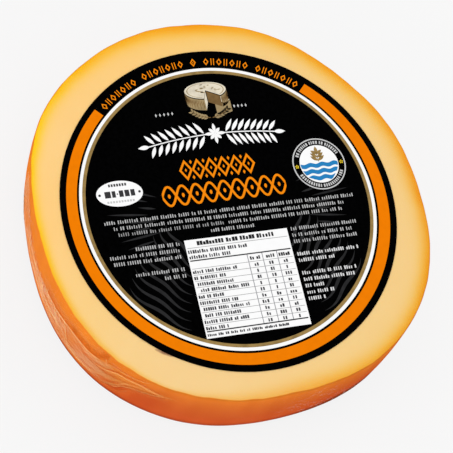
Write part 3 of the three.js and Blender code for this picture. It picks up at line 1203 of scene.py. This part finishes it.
# %% The inks
ORANGE_INK = ink("orange_ink", paint(243, 127, 2))
LETTER_ORANGE_INK = ink("bright_orange_ink", paint(250, 140, 14))
WHITE_INK = ink("white_ink", paint(253, 253, 253), depth=0.02)
GOLD_INK = ink("gold_ink", paint(162, 133, 80), roughness=0.4, depth=0.3)
GREY_INK = ink("grey_ink", paint(205, 205, 205))
BLUE_INK = ink("blue_ink", paint(40, 130, 192))
CREAM_INK = ink("cream_ink", paint(232, 222, 200), depth=0.2)
KHAKI_INK = ink("khaki_ink", paint(168, 146, 106), depth=0.3)
BROWN_INK = ink("brown_ink", paint(128, 100, 62), depth=0.3)
YELLOW_INK = ink("yellow_ink", paint(248, 214, 48))
FAINT_INK = ink("faint_ink", paint(44, 44, 45), depth=0.3)
SHADE_INK = ink("dark_ink", paint(58, 58, 60))

# %% [markdown]
# ## Rings round the label
# The orange band stops where the arch of ornament begins. A white ring and a gold one frame the
# black field. The arch repeats an open lozenge between pairs of upright strokes, an old border
# pattern, and a loop sets it round the curve. Four pairs are left out, so that it falls into groups.

# %% Rings and the arch of ornament
BAND = (93.25, 100.0)  # inner and outer radius, in mm as all the print is
BAND_START, BAND_END = 134.5, 408.5
WHITE_RING = (89.9, 91.9)
GOLD_RING = (87.9, 89.9)
ARCH_START, ARCH_END = 131.2, 51.4
ARCH_UNITS = 32
ARCH_RESTS = (7, 15, 17, 25)
ARCH_MIDDLE = 96.45
STROKE_ENDS = (ARCH_MIDDLE - 2.4, ARCH_MIDDLE + 2.4)
STROKE_WIDTH = 0.34  # in degrees
STROKE_OFF = 0.48  # from the middle of its pair, in degrees


def arch_ornament(work):
    for index in range(ARCH_UNITS + 1):
        degrees = ARCH_START + (ARCH_END - ARCH_START) * index / ARCH_UNITS
        x, y = on_ring(ARCH_MIDDLE, degrees)
        if index * 2 == ARCH_UNITS:
            disc(work, x, y, 3.8, 6.0, sides=4, turn=degrees - 90, stroke=0.7)
            disc(work, x, y, 0.9, 1.5, sides=4, turn=degrees - 90)
        elif index % 2 == 0:
            disc(work, x, y, 3.4, 5.2, sides=4, turn=degrees - 90, stroke=0.64)
        elif index not in ARCH_RESTS:
            for side in (-STROKE_OFF, STROKE_OFF):
                start = degrees + side - STROKE_WIDTH / 2
                ring(work, *STROKE_ENDS, start, start + STROKE_WIDTH, steps=1)


print_ink("orange_band", 1, ORANGE_INK, lambda work: ring(work, *BAND, BAND_START, BAND_END))
print_ink("arch_ornament", 1, LETTER_ORANGE_INK, arch_ornament)
print_ink("white_ring", 1, WHITE_INK, lambda work: ring(work, *WHITE_RING))
print_ink("gold_ring", 2, GOLD_INK, lambda work: ring(work, *GOLD_RING))

# %% [markdown]
# ## The emblem
# A label of this kind has a picture at its head. Here it is a cheese with a wedge drawn out, drawn
# as a print-maker would with three flat tones and short strokes of hatching, over a spray of two
# wheat ears. The rim is an ellipse, and the cut's two inner faces drop straight down from its radii.

# %% Draw the cheese emblem
EMBLEM_X = 1.6
EMBLEM_Y = 76.6
EMBLEM_WIDE = 13.4  # half its width and half its depth
EMBLEM_DEEP = 5.6
EMBLEM_HIGH = 8.0
CUT_FROM = 262
CUT_TO = 312
WEDGE_SHIFT = (5.6, -3.4)
TOP_STROKES = 22
HATCH_SEED = 9
WHEAT_GRAINS = 6
EAR_FOOT, STEM_FOOT = 58.4, 58.0  # heights where the wheat's grains and stems start
WHEAT_CURVE = 1.7


def emblem_rim(degrees, share=1.0, shift=(0, 0)):
    return (EMBLEM_X + shift[0] + EMBLEM_WIDE * share * math.cos(math.radians(degrees)),
            EMBLEM_Y + shift[1] + EMBLEM_DEEP * share * math.sin(math.radians(degrees)))


def emblem_top(start, end, shift=(0, 0)):
    def where(along, outward):
        return emblem_rim(start + (end - start) * along, outward, shift)
    return lambda work: patch(work, 40, 1, where)


def emblem_side(start, end, shift=(0, 0), gap=0.7):
    def where(along, up):
        x, y = emblem_rim(start + (end - start) * along, 1.0, shift)
        return x, y - gap - (EMBLEM_HIGH - gap) * up
    return lambda work: patch(work, 24, 1, where)


def emblem_cut(degrees, shift=(0, 0), gap=0.6):
    def where(along, up):
        x, y = emblem_rim(degrees, 0.04 + 0.92 * along, shift)
        return x, y - gap - (EMBLEM_HIGH - gap) * up
    return lambda work: patch(work, 1, 1, where)


def wheat_ear(way):
    """A stem that curves up and outwards, with grains in pairs along it."""
    def draw(work):
        for index in range(WHEAT_GRAINS):
            share = index / (WHEAT_GRAINS - 1)
            x = EMBLEM_X + way * (2.2 + 8.6 * share)
            y = EAR_FOOT + 4.0 * share ** WHEAT_CURVE
            lean = 12 + 26 * share
            for spread in (34, -34):
                turn = lean + spread
                leaf(work, x, y, 3.1, 1.25, turn if way > 0 else 180 - turn)
    return draw


def wheat_stem(way):
    def where(along, across):
        y = STEM_FOOT + 4.6 * along ** WHEAT_CURVE
        return EMBLEM_X + way * (0.6 + 11.0 * along), y + 0.45 * (across - 0.5)
    return lambda work: patch(work, 12, 1, where)


def rind_line(along, across):
    """A thin line just inside the rim of the drawn cheese."""
    return emblem_rim(CUT_TO + 6 + (348 - CUT_TO + CUT_FROM) * along, 0.86 + 0.035 * across)


def top_hatching(work):
    """Short level strokes scattered over the drawn top, as an engraver roughens a pale face."""
    draw = random.Random(HATCH_SEED)
    for _ in range(TOP_STROKES):
        x, y = emblem_rim(draw.uniform(CUT_TO + 8, CUT_FROM + 352), draw.uniform(0.3, 0.76))
        leaf(work, x, y, draw.uniform(1.4, 2.8), 0.5, 4)


def side_hatching(work):
    """Upright strokes that shade the drawn wall, closer together as it turns away."""
    for start, end, strokes in ((182, CUT_FROM, 17), (CUT_TO + 2, 359, 10)):
        for index in range(strokes):
            x, y = emblem_rim(start + (end - start) * index / strokes)
            leaf(work, x, y - 1.1, 6.4 if index % 2 == 0 else 4.2, 0.5, -90)


print_ink("emblem_tops", 1, CREAM_INK, emblem_top(CUT_TO, CUT_FROM + 360),
          emblem_top(CUT_FROM + 2, CUT_TO - 2, WEDGE_SHIFT), emblem_cut(CUT_FROM))
print_ink("emblem_sides", 2, KHAKI_INK, emblem_side(180, CUT_FROM), emblem_side(CUT_TO, 360),
          emblem_side(CUT_FROM + 2, CUT_TO - 2, WEDGE_SHIFT), wheat_ear(1), wheat_ear(-1))
print_ink("emblem_shades", 3, BROWN_INK, emblem_cut(CUT_TO), wheat_stem(1), wheat_stem(-1), side_hatching)
print_ink("emblem_lines", 3, KHAKI_INK, lambda work: patch(work, 60, 1, rind_line), top_hatching)


def small_marks(start, pitch, count, y, rise):
    def draw(work):
        for index in range(count):
            disc(work, start + pitch * index, y + rise * index, 1.25, 2.3, sides=4)
    return draw


print_ink("small_marks", 1, GREY_INK, small_marks(-33, 2.6, 5, 62.8, 0.08),
          small_marks(17.6, 2.5, 4, 64.2, -0.05))

# %% [markdown]
# ## The white garland
# The label's largest place is an arched band of white. It holds a laurel garland: two leafy stems
# that meet at a rosette, which fill the arch as evenly as words would. Each leaf is one small patch
# with a pointed outline, and a loop plants them in pairs along the arch.

# %% Draw the garland
GARLAND_CREST = 47.2
GARLAND_PEAK_X = 1.2
GARLAND_TILT = 0.011
GARLAND_BEND = 0.00217
GARLAND_SIDES = ((-1, -48.5), (1, 46.0))  # way from the rosette, and where that half ends
LEAVES_CLEAR, STEMS_CLEAR = 7.0, 6.0  # room left free at both ends of each half
LEAF_PAIRS = 8
LEAF_LENGTH, LEAF_SHRINK = 9.8, 1.6  # at the rosette, and what it loses on the way out
LEAF_WIDTH = 2.3
LEAF_SPREAD = 57
TIP_LEAF = (7.4, 2.8)
ROSETTE_LEAVES = 8


def garland_line(x):
    off = x - GARLAND_PEAK_X
    return GARLAND_CREST + GARLAND_TILT * off - GARLAND_BEND * off ** 2


def garland_leaves(work):
    for way, end in GARLAND_SIDES:
        start = GARLAND_PEAK_X + way * LEAVES_CLEAR
        for index in range(LEAF_PAIRS):
            share = index / (LEAF_PAIRS - 0.2)
            x = start + (end - way * LEAVES_CLEAR - start) * share
            slope = math.degrees(math.atan(-2 * GARLAND_BEND * (x - GARLAND_PEAK_X)))
            size = LEAF_LENGTH - LEAF_SHRINK * share
            for above in (1, -1):
                turn = slope + (LEAF_SPREAD * above if way > 0 else 180 - LEAF_SPREAD * above)
                leaf(work, x, garland_line(x) + 0.75 * above, size, LEAF_WIDTH, turn)
        x = end - way * 7.2
        leaf(work, x, garland_line(x), *TIP_LEAF, (180 if way < 0 else 0) - 4 * way)


def garland_stems(work):
    for way, end in GARLAND_SIDES:
        start = GARLAND_PEAK_X + way * STEMS_CLEAR

        def where(along, across, start=start, end=end, way=way):
            x = start + (end - way * STEMS_CLEAR - start) * along
            return x, garland_line(x) + 0.7 * (across - 0.5)
        patch(work, 40, 1, where)


def rosette(work):
    for index in range(ROSETTE_LEAVES):
        length = 6.9 if index % 2 == 0 else 5.0
        turn = index * 360 / ROSETTE_LEAVES
        leaf(work, GARLAND_PEAK_X, GARLAND_CREST, length, 2.1, turn, belly=0.7)


print_ink("garland_leaves", 1, WHITE_INK, garland_leaves)
print_ink("garland_stems", 2, WHITE_INK, garland_stems)
print_ink("garland_rosette", 3, WHITE_INK, rosette)

# %% [markdown]
# ## Two orange friezes
# Below the garland stand two rows of orange ornament. The upper is a chain of open lozenges with
# small ones in and between. The lower is a plait of two waves that cross between dots. Both are
# patterns that weavers and bakers have always used, drawn with strokes about as wide as a bold pen's.

# %% Draw the friezes
LOZENGES = 6
LOZENGE_ROW = (-26.5, 21.5, 18.3, 32.2)  # left, right, low, high
LOZENGE_STROKE = 1.3
LOZENGE_EYE = (1.3, 2.4)  # width and height
PLAIT_ROW = (-40.8, 37.8, 2.8, 16.4)
PLAIT_CELLS = 9
PLAIT_STROKE = 1.45
FRIEZE_DOT = (1.7, 2.8)


def lozenge_chain(work):
    left, right, low, high = LOZENGE_ROW
    pitch = (right - left) / LOZENGES
    for index in range(LOZENGES):
        x = left + pitch * (index + 0.5)
        disc(work, x, (low + high) / 2, pitch + 0.5, high - low, sides=4, stroke=LOZENGE_STROKE)
        disc(work, x, (low + high) / 2, *LOZENGE_EYE, sides=4)
    for index in range(1, LOZENGES):
        for y in (low + 1.9, high - 1.9):
            disc(work, left + pitch * index, y, *FRIEZE_DOT, sides=4)


def plait_strand(sign):
    left, right, low, high = PLAIT_ROW

    def where(along, across):
        phase = math.pi * PLAIT_CELLS * along
        sway = (high - low - PLAIT_STROKE) / 2
        steep = math.hypot(1, sway * math.pi * PLAIT_CELLS / (right - left) * math.cos(phase))
        y = (low + high) / 2 + sign * sway * math.sin(phase)
        return left + (right - left) * along, y + PLAIT_STROKE * min(steep, 2.4) * (across - 0.5)
    return lambda work: patch(work, 180, 1, where)


def plait_dots(work):
    left, right, low, high = PLAIT_ROW
    for index in range(PLAIT_CELLS):
        x = left + (right - left) * (index + 0.5) / PLAIT_CELLS
        disc(work, x, (low + high) / 2, *FRIEZE_DOT, sides=16)


print_ink("lozenge_chain", 1, LETTER_ORANGE_INK, lozenge_chain)
print_ink("plait_over", 2, LETTER_ORANGE_INK, plait_strand(1))
print_ink("plait_under", 1, LETTER_ORANGE_INK, plait_strand(-1), plait_dots)

# %% [markdown]
# ## The oval and the badge
# Two stamps stand at either side of the friezes: a white oval with plain blocks, and a round badge
# with a gold sprig over blue waves. A wave that meets the badge's edge ends on its circle, so each one
# is a patch whose ends follow the circle's half width at that height.

# %% Draw the oval and the badge
OVAL_X, OVAL_Y = -65.9, 15.1
OVAL_SIZE = (28.4, 16.4)
OVAL_BLOCKS = ((-75, -71.4), (-70.6, -68.4), (-66.2, -63.6), (-62.8, -60.0), (-59.2, -56.6))  # left, right
OVAL_BLOCKS_LOW, OVAL_BLOCKS_HIGH = 12.9, 17.0
OVAL_HEAD = (-71.8, 1.1, 1.65, 7, 19.8, 21.5)  # left, width and pitch of the blocks, how many, low, high
OVAL_FOOT = (-74.4, 1.2, 1.72, 10, 9.4, 10.7)
BADGE_X, BADGE_Y = 62.4, 19.8
BADGE_FIELD = 12.6
BADGE_RIM = (16.4, 17.2)
BADGE_TICKS = (13.5, 15.5)
TICK_SPANS = ((24, 156), (204, 336))  # directions in degrees
TICK_SEED = 21
STAR_PLACES = ((47.8, 19.3), (77.0, 19.7))
WAVES_OF_BADGE = ((17.7, 20.5), (13.5, 16.3), (9.3, 12.1))  # low, high
WAVE_SWAY = 0.5
SPRIG_FOOT, SPRIG_TOP = 21.4, 27.4
SPRIG_LEAVES = ((22.0, 5.6), (24.2, 5.2), (26.4, 4.4))  # height on the stem, length of the two leaves


def even_blocks(work, left, width, pitch, count, low, high):
    for index in range(count):
        bar(work, left + pitch * index, left + width + pitch * index, low, high)


def oval_marks(work):
    for left, right in OVAL_BLOCKS:
        bar(work, left, right, OVAL_BLOCKS_LOW, OVAL_BLOCKS_HIGH)
    disc(work, -67.3, 14.9, 0.9, sides=12)
    even_blocks(work, *OVAL_HEAD)
    for x in (OVAL_X - 12.2, OVAL_X + 12.2):
        disc(work, x, OVAL_Y, 1.6, sides=16)


def badge_waves(work):
    for low, high in WAVES_OF_BADGE:
        def where(across, up, low=low, high=high):
            y = low + (high - low) * up
            half = math.sqrt((BADGE_FIELD - 0.4) ** 2 - (abs(y - BADGE_Y) + WAVE_SWAY) ** 2)
            x = BADGE_X + half * (2 * across - 1)
            return x, y + WAVE_SWAY * math.sin((x - BADGE_X) * 0.8)
        patch(work, 36, 6, where)


def badge_ticks(work):
    draw = random.Random(TICK_SEED)
    for start, end in TICK_SPANS:
        degrees = start
        while degrees < end:
            width = draw.uniform(2.6, 4.4)
            ring(work, *BADGE_TICKS, degrees, degrees + width, (BADGE_X, BADGE_Y), 2)
            degrees += width + (5.0 if draw.random() < 0.12 else 2.4)


def sprig(work):
    bar(work, BADGE_X - 0.25, BADGE_X + 0.25, SPRIG_FOOT, SPRIG_TOP)
    leaf(work, BADGE_X, SPRIG_TOP - 0.4, 4.6, 2.2, 90)
    for y, length in SPRIG_LEAVES:
        for way in (-1, 1):
            leaf(work, BADGE_X, y, length, 2.1, 90 + 54 * way)


def side_stars(work):
    for x, y in STAR_PLACES:
        for index in range(5):
            leaf(work, x, y, 1.45, 0.95, 90 + 72 * index, belly=0.1)


print_ink("oval_field", 1, WHITE_INK, lambda work: disc(work, OVAL_X, OVAL_Y, *OVAL_SIZE, sides=72))
print_ink("oval_blocks", 2, SHADE_INK, oval_marks)
print_ink("oval_foot", 2, GREY_INK, lambda work: even_blocks(work, *OVAL_FOOT))
print_ink("badge_rim", 1, GREY_INK, lambda work: ring(work, *BADGE_RIM, middle=(BADGE_X, BADGE_Y), steps=96),
          badge_ticks)
print_ink("badge_field", 1, WHITE_INK, lambda work: disc(work, BADGE_X, BADGE_Y, 2 * BADGE_FIELD, sides=96))
print_ink("badge_waves", 2, BLUE_INK, badge_waves)
print_ink("badge_sprig", 2, GOLD_INK, sprig)
print_ink("badge_stars", 1, YELLOW_INK, side_stars)

# %% [markdown]
# ## Blocks for the small print
# Small print reads at this size as broken grey lines. Each line is a row of plain blocks about as
# wide as letters, with wider gaps where words would part, drawn by a seeded random choice so that it
# comes out the same each time.

# %% Draw the lines of blocks
BLOCK_PITCH = 1.42
WORD_GAP = 1.1
LINE_HIGH = 2.2
LEFT_END = -36.5  # the lines beside the panel end here at its left, and start here at its right
RIGHT_START = 33.5
FULL_LINES = (  # left, right, middle height
    (-79, 78.5, -2.8), (-74, 73, -6.8), (-4, 70.5, -10.8), (-16, 12, -14.8),
)
DIM_LINES = ((-72, -5.5, -10.8),)
LEFT_LINES = tuple((left, LEFT_END, middle) for left, middle in (
    (-63.7, -20.8), (-80, -24.8), (-78.5, -28.8), (-67, -36.7), (-50.3, -40.8),
))
RIGHT_LINES = tuple((RIGHT_START, right, middle) for right, middle in (
    (76.5, -20.1), (73, -24.2), (75, -28.3),
))
RIGHT_BOLD_LINES = tuple((RIGHT_START, right, middle) for right, middle in (
    (73, -36.5), (56.7, -40.5), (69, -48.7), (67.3, -52.8), (45.5, -56.9), (51, -61), (44.8, -65),
))
SMALL_SEED, DIM_SEED, BOLD_SEED = 3, 4, 5
THIN_FILL, BOLD_FILL = 0.48, 0.56  # a block's width as a share of the pitch


def blocks(work, draw, left, right, middle, fill, high=LINE_HIGH, pitch=BLOCK_PITCH):
    """One line of blocks from left to right."""
    x = left
    letters = draw.randint(2, 9)
    while x + 0.5 * pitch < right:
        width = pitch * fill * draw.uniform(0.75, 1.25)
        drop = 0.25 * high if draw.random() < 0.3 else 0.0
        bar(work, x, min(x + width, right), middle - high / 2, middle + high / 2 - drop)
        x += pitch
        letters -= 1
        if letters == 0:
            x += WORD_GAP
            letters = draw.randint(2, 9)


def block_lines(lines, seed, fill):
    def draw_lines(work):
        draw = random.Random(seed)
        for left, right, middle in lines:
            blocks(work, draw, left, right, middle, fill)
    return draw_lines


print_ink("small_print", 1, ink("small_ink", paint(184, 184, 184)),
          block_lines(FULL_LINES + LEFT_LINES + RIGHT_LINES, SMALL_SEED, THIN_FILL))
print_ink("dim_print", 1, ink("dim_ink", paint(154, 154, 154)), block_lines(DIM_LINES, DIM_SEED, THIN_FILL))
print_ink("bold_print", 1, ink("bold_ink", paint(220, 220, 220)),
          block_lines(RIGHT_BOLD_LINES, BOLD_SEED, BOLD_FILL))

# %% [markdown]
# ## The facts panel
# A white panel with a ruled table stands below the middle. Its rules are thin bars: two heavy ones
# close the table, and a loop draws the rows between. Grey blocks stand where the entries would.

# %% Draw the panel
PANEL = (-33.9, 31.0, -80.7, -19.2)  # left, right, low, high
PANEL_INSET = 0.9
TABLE_TOP = -32.4
TABLE_FOOT = -76.5
COLUMN_LINES = (2.3, 11.6, 20.9)
FIRST_ROW = -37.5
ROW_PITCH = 3.9
ROWS = 10
ROW_WIDTHS = (28.4, 20.3, 23.6, 32.0, 16.2, 23.5, 29.5, 23.2, 27.7, 14.0)
ROW_INDENTS = (0, 0, 1.2, 2.3, 0, 0, 1.2, 1.2, 0, 0)
ROW_DROP = 2.0  # from a rule to the middle of the blocks under it
TITLE_RULE = -24.4
TITLE_HALF, RULE_HALF, COLUMN_HALF, HEAVY_HALF = 0.15, 0.14, 0.22, 0.35  # half widths of the lines
TITLE_LINE = (-26.5, 23, -21.8)  # left, right, middle height, as for the lines of blocks
HEAD_SPANS = ((3.6, 10.4), (13.7, 19), (21.8, 29))
HEADS_MIDDLE = -35.2
TEXT_LEFT = -33
NOTE_LINES = ((TEXT_LEFT, 4, -26.8), (TEXT_LEFT, -6.8, -30.2))
FOOT_LINE = (TEXT_LEFT, 17.5, -78.7)
NUMBER_MIDDLES = (7.0, 16.3, 25.5)
NUMBER_PITCH = 1.5
HEAVY_SEED, ENTRY_SEED = 11, 12


def level_rule(work, y, half):
    bar(work, PANEL[0] + PANEL_INSET, PANEL[1] - PANEL_INSET, y - half, y + half)


def panel_rules(work):
    level_rule(work, TITLE_RULE, TITLE_HALF)
    for index in range(ROWS):
        level_rule(work, FIRST_ROW - ROW_PITCH * index, RULE_HALF)


def panel_columns(work):
    for x in COLUMN_LINES:
        bar(work, x - COLUMN_HALF, x + COLUMN_HALF, TABLE_FOOT, TABLE_TOP)


def panel_heavy(work):
    for y in (TABLE_TOP, TABLE_FOOT):
        level_rule(work, y, HEAVY_HALF)
    draw = random.Random(HEAVY_SEED)
    blocks(work, draw, *TITLE_LINE, fill=0.7, high=2.6, pitch=1.9)
    for left, right in HEAD_SPANS:
        blocks(work, draw, left, right, HEADS_MIDDLE, fill=0.68, high=2.1, pitch=1.45)


def panel_entries(work):
    draw = random.Random(ENTRY_SEED)
    for line in NOTE_LINES:
        blocks(work, draw, *line, fill=0.6, high=2.1, pitch=1.4)
    for index, (width, indent) in enumerate(zip(ROW_WIDTHS, ROW_INDENTS)):
        y = FIRST_ROW - ROW_DROP - ROW_PITCH * index
        blocks(work, draw, TEXT_LEFT + indent, TEXT_LEFT + width, y, fill=0.62, high=2.0, pitch=1.35)
        for middle in NUMBER_MIDDLES:
            half = draw.choice((1, 2, 2, 3)) * NUMBER_PITCH / 2
            blocks(work, draw, middle - half, middle + half, y, fill=0.6, high=2.0, pitch=NUMBER_PITCH)
    blocks(work, draw, *FOOT_LINE, fill=0.7, high=1.5, pitch=1.1)


print_ink("panel_field", 1, WHITE_INK, lambda work: bar(work, *PANEL))
print_ink("panel_rules", 2, ink("rule_ink", paint(150, 150, 150)), panel_rules)
print_ink("panel_columns", 3, ink("column_ink", paint(150, 150, 155)), panel_columns)
print_ink("panel_heavy", 4, ink("heavy_ink", paint(38, 38, 40)), panel_heavy)
print_ink("panel_entries", 4, ink("entry_ink", paint(60, 60, 64)), panel_entries)

# %% [markdown]
# ## A faint ground
# Behind the small print the black field holds a drawing so dark that it is almost lost: furrows that
# sweep round the foot of the field and rays above them. The strokes are thin leaves and arcs in a
# grey just lighter than the paper, and the panel is printed over them.

# %% Draw the faint ground
FURROWS = 9
OUTER_FURROW = 84.5  # radius of the outermost one
FURROW_PITCH = 5.2
FURROW_WIDTH = 2.1
FURROW_SWAY = 1.2
RAYS = 8
RAY_WIDTH = 1.3
RAYS_DROP = 6


def furrows(work):
    for way in (-1, 1):
        for index in range(FURROWS):
            radius = OUTER_FURROW - FURROW_PITCH * index
            reach = 30 + 1.5 * index
            middle = 270 + way * (44 + 2.0 * index)

            def where(along, across, radius=radius, reach=reach, middle=middle):
                degrees = middle + reach * (along - 0.5)
                width = FURROW_WIDTH * math.sin(math.pi * along) * (across - 0.5)
                return on_ring(radius + width + FURROW_SWAY * math.sin(9 * along), degrees)
            patch(work, 24, 1, where)


def rays(work):
    for way in (-1, 1):
        for index in range(RAYS):
            degrees = 90 - way * (70 + 4.6 * index)
            x, y = on_ring(47 + 5 * (index % 2), degrees)
            leaf(work, x, y - RAYS_DROP, 25 - 7 * (index % 3), RAY_WIDTH, degrees)


print_ink("faint_furrows", 0.3, FAINT_INK, furrows)
print_ink("faint_rays", 0.45, FAINT_INK, rays)
